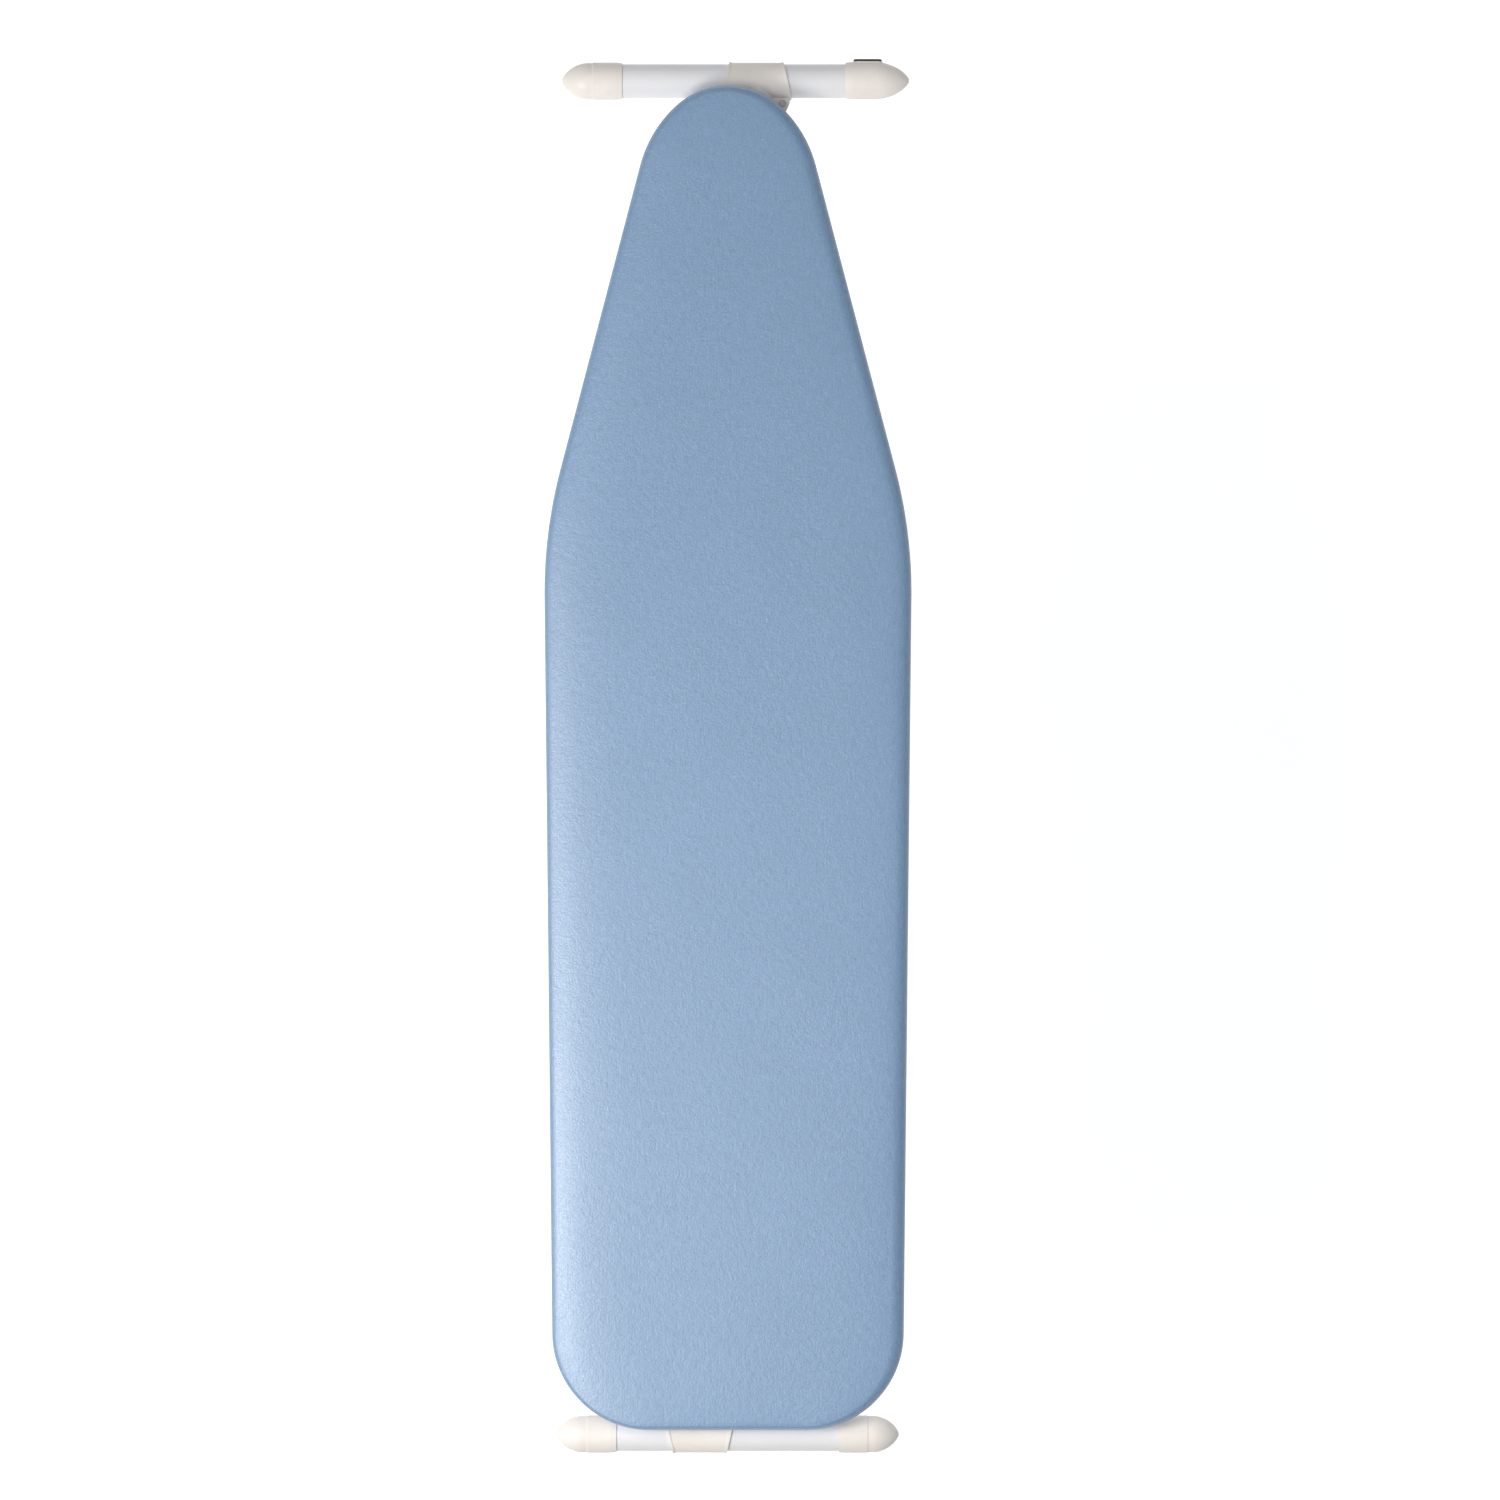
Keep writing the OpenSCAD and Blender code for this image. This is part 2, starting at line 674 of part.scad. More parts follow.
// Two rods at the ends of the flat, from one distance off the bar's axis to another
module level_rods(r, y0, y1) {
    for (z = level_ends) y_rod(r, y0, y1, 0, z);
}

module levelling_cap(middle) {
    mouth_r = foot_r + 1;
    swell = 10;
    dome = 33;
    color("antiquewhite") at_levelling_cap(middle) difference() {
        union() {
            translate([0, level_offset, 0]) rotate_extrude() polygon(concat(
                [[0, 0], [mouth_r, 0]],
                [for (i = [1 : 5]) [mouth_r + (cap_r - mouth_r) * sin(i * 18), swell * i / 5]],
                dome_points(cap_r, level_len - dome, level_len)));
            hull() level_rods(level_land_r, 0, level_land_y);
        }
        cap_hollow(bar_in_level);
        level_rods(stud_r + gap / 2, level_land_y - stud_len, level_land_y + stud_len);
    }
}

// Rubber strip pressed into the levelling cap's flat
module levelling_pad(middle) {
    pad_r = level_land_r - 1;
    tread_r = pad_r - 0.6;
    base = level_land_y + gap / 2;
    color("dimgray") at_levelling_cap(middle) union() {
        hull() {
            level_rods(pad_r, base, base + level_pad_h - 0.6);
            level_rods(tread_r, base, base + level_pad_h);
        }
        level_rods(stud_r, base - stud_len, base + level_pad_h / 2);
    }
}

module cross_pivot_bolt() {
    color("silver") union() {
        x_rod(pin_r, -leg_outer_x - pin_end, leg_outer_x + 1, 0, cross_z);
        translate([leg_outer_x + nut_gap, 0, cross_z]) rotate([0, 90, 0]) dome_head();
    }
}

module cross_pivot_nut() {
    color("silver") pivot_nut(-1, 0, cross_z);
}

module cross_spacer() {
    outer_r = 9;
    reach = leg_inner_x - gap;
    color("antiquewhite") difference() {
        x_rod(outer_r, -reach, reach, 0, cross_z);
        x_rod(pin_r + fit, -through, through, 0, cross_z);
    }
}

// ---- slider that carries the other leg along the rail ----
slider_len = 44;
lug_len = 28;
lug_r = 7;
lock_pin_r = 2;
lock_pin_z = bar_edge - 2.6;

module slider_block() {
    y = slider_y(folded_angle);
    half = rail_inner - 0.2;
    base_z = rail_z + rail_wall + 0.2;
    lug_x = rail_w / 2;
    color("antiquewhite") difference() {
        union() {
            block([-half, y - slider_len / 2, base_z], [half, y + slider_len / 2, panel_z - rail_wall - 0.2]);
            block([-rail_mouth + 0.2, y - slider_len / 2, rail_z - 1],
                  [rail_mouth - 0.2, y + slider_len / 2, base_z + 1]);
            block([-lug_x, y - lug_len / 2, pivot_z], [lug_x, y + lug_len / 2, rail_z - 0.2]);
            x_rod(lug_r, -lug_x, lug_x, y, pivot_z);
        }
        block([-2, y - slider_len, lock_pin_z - 2.4], [2, y + slider_len, panel_z]);
        x_rod(lock_pin_r + fit, -half - 1, half + 1, y, lock_pin_z);
        x_rod(pin_r + fit, -through, through, y, pivot_z);
    }
}

module lock_pin() {
    reach = rail_inner - 0.4;
    color("silver") x_rod(lock_pin_r, -reach, reach, slider_y(folded_angle), lock_pin_z);
}

module slider_pivot_pin() {
    color("silver") pivot_pin(-1, slider_y(folded_angle), rail_w / 2 + fit);
}

module slider_pivot_nut() {
    color("silver") pivot_nut(-1, slider_y(folded_angle), pivot_z);
}

module slider_washer() {
    outer_r = 8;
    color("antiquewhite") difference() {
        x_rod(outer_r, -leg_inner_x + gap, -rail_w / 2 - gap, slider_y(folded_angle), pivot_z);
        x_rod(pin_r + fit, -through, through, slider_y(folded_angle), pivot_z);
    }
}

nose_middle = nose_foot_shift - leg_x;
tail_middle = -tail_foot_shift - leg_x;

cover();
foam_pad();
top_panel();
edge_frame();
guide_rail();
cross_ribs();
pivot_hanger();
hanger_rivets();
fold_pivot_pin();
fold_pivot_nut();
lock_bar_guides();
lever_saddles();
saddle_rivets();
lever_spring();
release_lever();
lever_grip();
lever_retainer();
lock_bar();
as_nose_leg() leg_tube();  // nose_leg_tube
as_nose_leg() leg_plug();  // nose_leg_plug
as_nose_leg() cross_bush();  // nose_cross_bush
as_nose_leg() tee_shell(1);  // nose_tee_upper
as_nose_leg() tee_shell(-1);  // nose_tee_lower
as_nose_leg() tee_screw_set();  // nose_tee_screws
as_nose_leg() foot_bar(nose_middle);  // nose_foot_bar
as_nose_leg() foot_cap(nose_middle, -1);  // nose_foot_cap_left
as_nose_leg() levelling_cap(nose_middle);  // nose_levelling_cap
as_nose_leg() levelling_pad(nose_middle);
cross_pivot_bolt();
cross_pivot_nut();
cross_spacer();
as_tail_leg() leg_tube();  // tail_leg_tube
as_tail_leg() leg_plug();  // tail_leg_plug
as_tail_leg() cross_bush();  // tail_cross_bush
as_tail_leg() tee_shell(1);  // tail_tee_upper
as_tail_leg() tee_shell(-1);  // tail_tee_lower
as_tail_leg() tee_screw_set();  // tail_tee_screws
as_tail_leg() foot_bar(tail_middle);  // tail_foot_bar
as_tail_leg() foot_cap(tail_middle, 1);  // tail_foot_cap_left
as_tail_leg() foot_cap(tail_middle, -1);  // tail_foot_cap_right
slider_block();
lock_pin();
slider_pivot_pin();
slider_pivot_nut();
slider_washer();
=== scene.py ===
"""Folding ironing board, folded flat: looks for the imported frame.

Metres. +Y points to the nose, +Z out of the ironing face. Everything is placed from the frame's boxes.
"""

import json
import math

import bmesh
import bpy
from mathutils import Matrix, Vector, kdtree, noise


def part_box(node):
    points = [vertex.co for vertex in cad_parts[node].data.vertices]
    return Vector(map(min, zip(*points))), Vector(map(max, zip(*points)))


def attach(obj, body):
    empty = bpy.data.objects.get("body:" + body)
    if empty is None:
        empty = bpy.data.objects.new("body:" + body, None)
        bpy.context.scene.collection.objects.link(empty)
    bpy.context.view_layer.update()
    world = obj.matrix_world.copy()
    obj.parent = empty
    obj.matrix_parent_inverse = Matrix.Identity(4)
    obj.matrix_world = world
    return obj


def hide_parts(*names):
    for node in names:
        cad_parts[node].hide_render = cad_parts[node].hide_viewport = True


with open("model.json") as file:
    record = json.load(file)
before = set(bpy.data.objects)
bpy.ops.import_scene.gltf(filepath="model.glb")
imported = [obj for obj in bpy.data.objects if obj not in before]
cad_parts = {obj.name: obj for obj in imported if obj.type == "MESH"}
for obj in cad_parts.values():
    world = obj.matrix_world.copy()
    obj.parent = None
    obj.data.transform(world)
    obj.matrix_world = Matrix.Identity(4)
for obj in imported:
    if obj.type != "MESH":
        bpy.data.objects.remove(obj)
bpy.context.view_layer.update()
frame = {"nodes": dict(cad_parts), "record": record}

MM = 0.001

# ---------------------------------------------------------------- camera, lights, floor

PICTURE_WIDTH = 1.449       # metres across the picture at the height of the ironing face
CAMERA_HEIGHT = 9.0         # above the ironing face
CAMERA_X, CAMERA_Y = 0.0213, 0.0074
CAMERA_REACH = 40.0
SENSOR = 36.0               # the sensor's width in the camera's own millimetres


def make_camera():
    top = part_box("cover")[1].z
    data = bpy.data.cameras.new("camera")
    data.sensor_width = SENSOR
    data.lens = SENSOR * CAMERA_HEIGHT / PICTURE_WIDTH
    data.clip_end = CAMERA_REACH
    camera = bpy.data.objects.new("camera", data)
    camera.location = (CAMERA_X, CAMERA_Y, top + CAMERA_HEIGHT)
    bpy.context.scene.collection.objects.link(camera)
    bpy.context.scene.camera = camera


def make_area_light(name, place, target, size, watts, color, glossy=True):
    data = bpy.data.lights.new(name, "AREA")
    data.shape = "RECTANGLE"
    data.size, data.size_y = size
    data.energy = watts
    data.color = color
    light = bpy.data.objects.new(name, data)
    light.location = place
    light.visible_glossy = glossy
    light.rotation_euler = (Vector(target) - Vector(place)).to_track_quat("-Z", "Y").to_euler()
    bpy.context.scene.collection.objects.link(light)


HORIZON_LIGHT = (0.12, 0.125, 0.13)
ZENITH_LIGHT = (0.42, 0.43, 0.445)
# The key stands low on the left, and makes the bright band along that edge of the cloth
KEY_PLACE, KEY_AIM = (-1.2, -0.68, 1.75), (-0.1, -0.4, 0)
KEY_SIZE, KEY_WATTS, KEY_COLOR = (0.7, 0.9), 29, (1.0, 0.99, 0.97)
# The top light is broad, and lights everything without a mirror image of itself
TOP_PLACE, TOP_AIM = (-1.1, 0.1, 4.1), (0, 0, 0)
TOP_SIZE, TOP_WATTS, TOP_COLOR = (2.6, 2.6), 84, (1.0, 1.0, 1.0)


def make_studio():
    scene = bpy.context.scene
    scene.view_settings.view_transform = "Standard"
    world = bpy.data.worlds.new("studio")
    world.use_nodes = True
    tree = world.node_tree
    background = tree.nodes["Background"]
    split = tree.nodes.new("ShaderNodeSeparateXYZ")
    link(tree, tree.nodes.new("ShaderNodeTexCoord").outputs["Generated"], split.inputs[0])
    upright = tree.nodes.new("ShaderNodeMath")
    upright.operation = "ABSOLUTE"
    link(tree, split.outputs["Z"], upright.inputs[0])
    link(tree, ramp(tree, upright.outputs[0], 0.0, 1.0, HORIZON_LIGHT, ZENITH_LIGHT),
         background.inputs["Color"])
    scene.world = world
    make_area_light("key", KEY_PLACE, KEY_AIM, KEY_SIZE, KEY_WATTS, KEY_COLOR)
    make_area_light("top", TOP_PLACE, TOP_AIM, TOP_SIZE, TOP_WATTS, TOP_COLOR, glossy=False)


FLOOR_Z = -0.853            # where the feet stand once the legs are open
FLOOR_HALF = 16.0
FLOOR_GLOW = 0.46           # a lit backdrop, so that it stays pale


def make_floor():
    signs = ((-1, -1), (1, -1), (1, 1), (-1, 1))
    corners = [(x * FLOOR_HALF, y * FLOOR_HALF, FLOOR_Z) for x, y in signs]
    floor = mesh_object("floor", corners, [(0, 1, 2, 3)], smooth=False)
    mat, tree, shader = new_material("floor_paint", (0.94, 0.94, 0.94), 0.7)
    speck = node(tree, "ShaderNodeTexNoise", Scale=3.0, Detail=4.0)
    link(tree, texture_space(tree), speck.inputs["Vector"])
    tint(tree, shader, speck.outputs["Fac"], (0.95, 0.95, 0.95), (0.97, 0.97, 0.97))
    shader.inputs["Emission Color"].default_value = (1.0, 1.0, 1.0, 1.0)
    shader.inputs["Emission Strength"].default_value = FLOOR_GLOW
    floor.data.materials.append(mat)


# ---------------------------------------------------------------- material helpers

def new_material(name, color, roughness, **sockets):
    """A material with one Principled shader. Uniform values go straight onto the shader's sockets."""
    mat = bpy.data.materials.new(name)
    mat.use_nodes = True
    tree = mat.node_tree
    shader = tree.nodes["Principled BSDF"]
    shader.inputs["Base Color"].default_value = (*color, 1.0)
    shader.inputs["Roughness"].default_value = roughness
    for socket, value in sockets.items():
        shader.inputs[socket.replace("_", " ")].default_value = value
    return mat, tree, shader


def node(tree, kind, **inputs):
    made = tree.nodes.new(kind)
    for socket, value in inputs.items():
        made.inputs[socket.replace("_", " ")].default_value = value
    return made


def link(tree, out, into):
    tree.links.new(out, into)


def texture_space(tree, scale=(1, 1, 1), layer=None):
    """Object coordinates in metres, or a UV layer's, stretched by scale."""
    if layer:
        source = tree.nodes.new("ShaderNodeUVMap")
        source.uv_map = layer
        out = source.outputs["UV"]
    else:
        out = tree.nodes.new("ShaderNodeTexCoord").outputs["Object"]
    mapping = tree.nodes.new("ShaderNodeMapping")
    mapping.inputs["Scale"].default_value = scale
    link(tree, out, mapping.inputs["Vector"])
    return mapping.outputs["Vector"]


def noise_texture(tree, space, scale, detail=3.0, rough=0.55):
    made = node(tree, "ShaderNodeTexNoise", Scale=scale, Detail=detail, Roughness=rough)
    link(tree, space, made.inputs["Vector"])
    return made.outputs["Fac"]


def ramp(tree, value, low, high, dark, light):
    """A colour from dark to light as value goes from low to high."""
    made = tree.nodes.new("ShaderNodeMapRange")
    made.data_type = "FLOAT"
    made.inputs["From Min"].default_value = low
    made.inputs["From Max"].default_value = high
    link(tree, value, made.inputs["Value"])
    mix = tree.nodes.new("ShaderNodeMix")
    mix.data_type = "RGBA"
    mix.inputs["A"].default_value = (*dark, 1.0)
    mix.inputs["B"].default_value = (*light, 1.0)
    link(tree, made.outputs["Result"], mix.inputs["Factor"])
    return mix.outputs["Result"]


def tint(tree, shader, value, dark, light, low=0.35, high=0.65):
    link(tree, ramp(tree, value, low, high, dark, light), shader.inputs["Base Color"])


def vary_roughness(tree, shader, value, smooth, rough, low=0.3, high=0.7):
    made = tree.nodes.new("ShaderNodeMapRange")
    made.inputs["From Min"].default_value = low
    made.inputs["From Max"].default_value = high
    made.inputs["To Min"].default_value = smooth
    made.inputs["To Max"].default_value = rough
    link(tree, value, made.inputs["Value"])
    link(tree, made.outputs["Result"], shader.inputs["Roughness"])


def bump(tree, shader, *layers):
    """Stacks bump layers, each (height output, depth in metres, strength)."""
    normal = None
    for height, depth, strength in layers:
        made = node(tree, "ShaderNodeBump", Strength=strength, Distance=depth)
        link(tree, height, made.inputs["Height"])
        if normal:
            link(tree, normal, made.inputs["Normal"])
        normal = made.outputs["Normal"]
    link(tree, normal, shader.inputs["Normal"])


def multiply(tree, color, value, low, high, dark, light):
    """color darkened by a grey that follows value."""
    grey = ramp(tree, value, low, high, (dark,) * 3, (light,) * 3)
    mix = tree.nodes.new("ShaderNodeMix")
    mix.data_type = "RGBA"
    mix.blend_type = "MULTIPLY"
    mix.inputs["Factor"].default_value = 1.0
    link(tree, color, mix.inputs["A"])
    link(tree, grey, mix.inputs["B"])
    return mix.outputs["Result"]


# ---------------------------------------------------------------- materials

PATTERN = "pattern"         # the cloth's UV layer: places on the flat cut, in metres
THREAD = 0.55 * MM


def band_texture(tree, space, direction, pitch):
    made = tree.nodes.new("ShaderNodeTexWave")
    made.wave_type = "BANDS"
    made.bands_direction = direction
    made.inputs["Scale"].default_value = 2 * math.pi / 20 / pitch
    made.inputs["Distortion"].default_value = 0.0
    link(tree, space, made.inputs["Vector"])
    return made.outputs["Fac"]


def weave_height(tree):
    """Warp and weft threads, as one height."""
    space = texture_space(tree, layer=PATTERN)
    warp = band_texture(tree, space, "X", THREAD)
    weft = band_texture(tree, space, "Y", THREAD)
    both = tree.nodes.new("ShaderNodeMath")
    both.operation = "MAXIMUM"
    link(tree, warp, both.inputs[0])
    link(tree, weft, both.inputs[1])
    return both.outputs[0]


def cloth_material():
    mat, tree, shader = new_material(
        "blue_cloth", (0.17, 0.285, 0.445), 0.45, Sheen_Weight=0.05, Sheen_Roughness=0.45,
        Sheen_Tint=(0.86, 0.93, 1.0, 1.0), Specular_IOR_Level=0.9, IOR=1.9)
    cut = texture_space(tree, layer=PATTERN)
    warp_slubs = noise_texture(tree, texture_space(tree, (620, 95, 1), PATTERN), 1.0, 2.0)
    weft_slubs = noise_texture(tree, texture_space(tree, (110, 700, 1), PATTERN), 1.0, 2.0)
    grain = noise_texture(tree, cut, 480.0, 3.0, 0.6)
    mottle = noise_texture(tree, cut, 150.0, 3.0)
    cloudy = noise_texture(tree, cut, 9.0, 3.0)
    color = ramp(tree, cloudy, 0.3, 0.7, (0.145, 0.264, 0.431), (0.155, 0.278, 0.451))
    color = multiply(tree, color, grain, 0.3, 0.7, 0.88, 1.10)
    color = multiply(tree, color, mottle, 0.3, 0.7, 0.96, 1.03)
    color = multiply(tree, color, warp_slubs, 0.3, 0.7, 0.92, 1.07)
    color = multiply(tree, color, weft_slubs, 0.3, 0.7, 0.96, 1.03)
    link(tree, color, shader.inputs["Base Color"])
    vary_roughness(tree, shader, grain, 0.38, 0.52)
    bump(tree, shader, (weave_height(tree), 0.12 * MM, 0.25), (grain, 0.4 * MM, 0.8),
         (mottle, 0.5 * MM, 0.5), (warp_slubs, 0.25 * MM, 0.4))
    return mat


def enamel_material(name, white, rough=0.34):
    mat, tree, shader = new_material(name, white, rough, Coat_Weight=0.12, Coat_Roughness=0.25)
    peel = noise_texture(tree, texture_space(tree), 900.0, 2.0)
    stain = noise_texture(tree, texture_space(tree), 14.0, 4.0)
    shade = tuple(0.955 * c for c in white)
    tint(tree, shader, stain, shade, white)
    vary_roughness(tree, shader, stain, rough - 0.05, rough + 0.08)
    bump(tree, shader, (peel, 0.15 * MM, 0.18))
    return mat


def plastic_material(name, color, shade, rough=0.42):
    mat, tree, shader = new_material(name, color, rough)
    grain = noise_texture(tree, texture_space(tree), 1600.0, 2.0)
    flow = noise_texture(tree, texture_space(tree), 40.0, 3.0)
    tint(tree, shader, flow, shade, color)
    vary_roughness(tree, shader, flow, rough - 0.04, rough + 0.08)
    bump(tree, shader, (grain, 0.1 * MM, 0.2))
    return mat


def zinc_material():
    mat, tree, shader = new_material("zinc_plate", (0.60, 0.61, 0.63), 0.32, Metallic=1.0)
    spangle = noise_texture(tree, texture_space(tree), 300.0, 3.0)
    scratch = noise_texture(tree, texture_space(tree, (3000, 400, 400)), 1.0, 2.0)
    tint(tree, shader, spangle, (0.50, 0.515, 0.54), (0.66, 0.66, 0.65))
    vary_roughness(tree, shader, scratch, 0.24, 0.42)
    bump(tree, shader, (scratch, 0.05 * MM, 0.15))
    return mat


def felt_material():
    mat, tree, shader = new_material("felt", (0.80, 0.80, 0.77), 0.95, Sheen_Weight=0.25)
    fibre = noise_texture(tree, texture_space(tree, (1200, 1200, 1200)), 1.0, 5.0, 0.7)
    tint(tree, shader, fibre, (0.62, 0.62, 0.60), (0.86, 0.86, 0.83), 0.3, 0.7)
    bump(tree, shader, (fibre, 0.6 * MM, 0.6))
    return mat


def rubber_material():
    mat, tree, shader = new_material("rubber", (0.035, 0.035, 0.038), 0.7)
    grain = noise_texture(tree, texture_space(tree), 1500.0, 3.0)
    dust = noise_texture(tree, texture_space(tree), 120.0, 4.0)
    tint(tree, shader, dust, (0.028, 0.028, 0.03), (0.06, 0.06, 0.062))
    vary_roughness(tree, shader, dust, 0.6, 0.85)
    bump(tree, shader, (grain, 0.2 * MM, 0.4))
    return mat


def make_materials():
    return {
        "cover_cloth": cloth_material(),
        "foam": felt_material(),
        "board_enamel": enamel_material("board_enamel", (0.74, 0.74, 0.74), 0.4),
        "leg_enamel": enamel_material("leg_enamel", (0.775, 0.765, 0.772)),
        "cream_plastic": plastic_material("cream_plastic", (0.825, 0.77, 0.72), (0.785, 0.725, 0.67)),
        "nylon": plastic_material("nylon", (0.78, 0.77, 0.73), (0.70, 0.69, 0.65), 0.36),
        "rubber": rubber_material(),
        "zinc": zinc_material(),
    }


def finish_cad_nodes(materials):
    """Each carried-over CAD node takes its slot's material."""
    slot_of = {row["node"]: row["material_slot"] for row in frame["record"]["subparts"]}
    for name, obj in frame["nodes"].items():
        material = materials[slot_of[name]]
        if not obj.material_slots:
            obj.data.materials.append(material)
        for place in obj.material_slots:
            place.material = material


# ---------------------------------------------------------------- mesh helpers

def mesh_object(name, points, faces, smooth=True, uvs=None):
    mesh = bpy.data.meshes.new(name)
    mesh.from_pydata(points, [], faces)
    if smooth:
        mesh.polygons.foreach_set("use_smooth", [True] * len(mesh.polygons))
    if uvs:
        layer = mesh.uv_layers.new(name=PATTERN)
        for loop in mesh.loops:
            layer.data[loop.index].uv = uvs[loop.vertex_index]
    obj = bpy.data.objects.new(name, mesh)
    bpy.context.scene.collection.objects.link(obj)
    return obj


def apply_modifier(obj, kind, **settings):
    modifier = obj.modifiers.new(kind, kind)
    for key, value in settings.items():
        setattr(modifier, key, value)
    bpy.context.view_layer.objects.active = obj
    obj.select_set(True)
    bpy.ops.object.modifier_apply(modifier=modifier.name)
    obj.select_set(False)


def merge_close(obj, distance):
    work = bmesh.new()
    work.from_mesh(obj.data)
    bmesh.ops.remove_doubles(work, verts=work.verts, dist=distance)
    bmesh.ops.recalc_face_normals(work, faces=work.faces)
    work.to_mesh(obj.data)
    work.free()


def ring_faces(rings, count):
    """Quads between neighbouring closed rings of count points each."""
    return [(r * count + i, r * count + (i + 1) % count,
             (r + 1) * count + (i + 1) % count, (r + 1) * count + i)
            for r in range(rings - 1) for i in range(count)]


# ---------------------------------------------------------------- the board's outline

NOSE_R = 74 * MM            # at the tip
NOSE_SIDE_R = 119 * MM      # at both sides of the nose
NOSE_JOIN = math.radians(48)     # direction of the normal where the two nose radii meet
NOSE_ANGLE = math.radians(14.7)  # the taper
SHOULDER_R = 470 * MM       # where the taper turns into the sides
SIDE_ANGLE = math.radians(0.6)   # the sides narrow a little towards the tail
TAIL_R = 94 * MM
OUTLINE_STEP = 2.6 * MM


def arc_samples(cx, cy, radius, a0, a1):
    steps = max(2, round(radius * abs(a1 - a0) / OUTLINE_STEP))
    angles = [a0 + (a1 - a0) * i / steps for i in range(steps)]
    return [(Vector((cx + radius * math.cos(a), cy + radius * math.sin(a))),
             Vector((math.cos(a), math.sin(a)))) for a in angles]


def line_samples(start, end, normal):
    steps = max(1, round((end - start).length / OUTLINE_STEP))
    return [(start.lerp(end, i / steps), normal) for i in range(steps)]


def direction(angle):
    return Vector((math.cos(angle), math.sin(angle)))


def right_outline(low, high):
    """Nose tip to the middle of the tail edge, on the right: (point, outward normal) at even steps."""
    half_w, half_l = (high.x - low.x) / 2, (high.y - low.y) / 2
    taper, side, down = direction(NOSE_ANGLE), direction(-SIDE_ANGLE), Vector((0, -1))
    nose = Vector((0, half_l - NOSE_R))
    cheek = nose - (NOSE_SIDE_R - NOSE_R) * direction(NOSE_JOIN)
    reach = cheek.dot(taper) + NOSE_SIDE_R
    shoulder_x = half_w - SHOULDER_R
    shoulder = Vector((shoulder_x, (reach - SHOULDER_R - shoulder_x * taper.x) / taper.y))
    tail_y = TAIL_R - half_l
    tail_x = (shoulder_x + (SHOULDER_R - TAIL_R) / math.cos(SIDE_ANGLE)
              + (tail_y - shoulder.y) * math.tan(SIDE_ANGLE))
    tail = Vector((tail_x, tail_y))
    return (arc_samples(*nose, NOSE_R, math.pi / 2, NOSE_JOIN)
            + arc_samples(*cheek, NOSE_SIDE_R, NOSE_JOIN, NOSE_ANGLE)
            + line_samples(cheek + NOSE_SIDE_R * taper, shoulder + SHOULDER_R * taper, taper)
            + arc_samples(*shoulder, SHOULDER_R, NOSE_ANGLE, -SIDE_ANGLE)
            + line_samples(shoulder + SHOULDER_R * side, tail + TAIL_R * side, side)
            + arc_samples(*tail, TAIL_R, -SIDE_ANGLE, -math.pi / 2)
            + line_samples(tail + TAIL_R * down, Vector((0, -half_l)), down)
            + [(Vector((0, -half_l)), down)])


def board_outline():
    right = right_outline(*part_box("cover"))
    left = [(Vector((-p.x, p.y)), Vector((-n.x, n.y))) for p, n in reversed(right[1:-1])]
    return right + left


def spine_point(point, low, high):
    """The place on the board's middle line that an outline point is drawn in towards."""
    return Vector((0, min(max(point.y, low.y + TAIL_R), high.y - NOSE_R)))


# ---------------------------------------------------------------- cloth cover and pad

ROLL_W = 14 * MM            # how far in from the edge the cloth starts to roll over
ROLL_H = 4.3 * MM           # how far it drops there
SIDE_TUCK = 0.3 * MM        # how far the side leans in under the roll
TURN_R = 2.6 * MM
HEM_W = 27 * MM             # the part that is turned in under the board
FLAT_HEM_W = 6 * MM         # how far in the hem lies flat before its gathers start
CLOTH_T = 0.8 * MM
GATHER_H = 3.0 * MM
GATHER_PITCH = 17 * MM
SLOW_GATHER_PITCH = 41 * MM
SIDE_PUCKER = 0.45 * MM     # how far the side draws in below the roll where the edge turns
CROWN_W = 88 * MM           # the gentle fall of the padding towards the edge
CROWN_H = 4.8 * MM
SHOULDER_W = 26 * MM        # the steeper fall close to the edge
SHOULDER_H = 2.0 * MM
FALL_H = CROWN_H + SHOULDER_H
CROWN_RISE = 3.4 * MM       # how far the middle stands above the flat face
CROWN_BLUR = 8 * MM         # over what distance the falls of two sides blend
BLUR_OFFSETS = [Vector((0, 0))] + [CROWN_BLUR * direction(math.radians(45 * k)) for k in range(8)]
WELD = 0.02 * MM            # points closer than this are one
ROLL_STEPS, TURN_STEPS, HEM_STEPS, INNER_STEPS = 11, 4, 7, 17


def roll_share(normal):
    """The roll is tight at the tail and on the left, and soft on the right."""
    return 0.44 + 0.27 * normal.x + 0.13 * normal.y + 0.25 * normal.x ** 2


def crown_share(normal):
    """The padding falls most on the left, where the cloth is pulled down hard."""
    return 0.3 - 0.325 * normal.x + 0.375 * normal.x ** 2


def crown_map(outline):
    """A function that tells how far the padded top has fallen at a place, soft where two slopes meet."""
    tree = kdtree.KDTree(len(outline))
    for i, (p, _) in enumerate(outline):
        tree.insert((p.x, p.y, 0), i)
    tree.balance()

    def fall(place):
        total = 0.0
        for offset in BLUR_OFFSETS:
            q = place + offset
            _, index, distance = tree.find((q.x, q.y, 0))
            p, n = outline[index]
            depth = -distance if (q - p).dot(n) > 0 else distance
            crown = CROWN_H * max(0.0, 1 - depth / CROWN_W) ** 3
            shoulder = SHOULDER_H * max(0.0, 1 - depth / SHOULDER_W) ** 2
            total += crown_share(n) * (crown + shoulder)
        return total / len(BLUR_OFFSETS)
    return fall


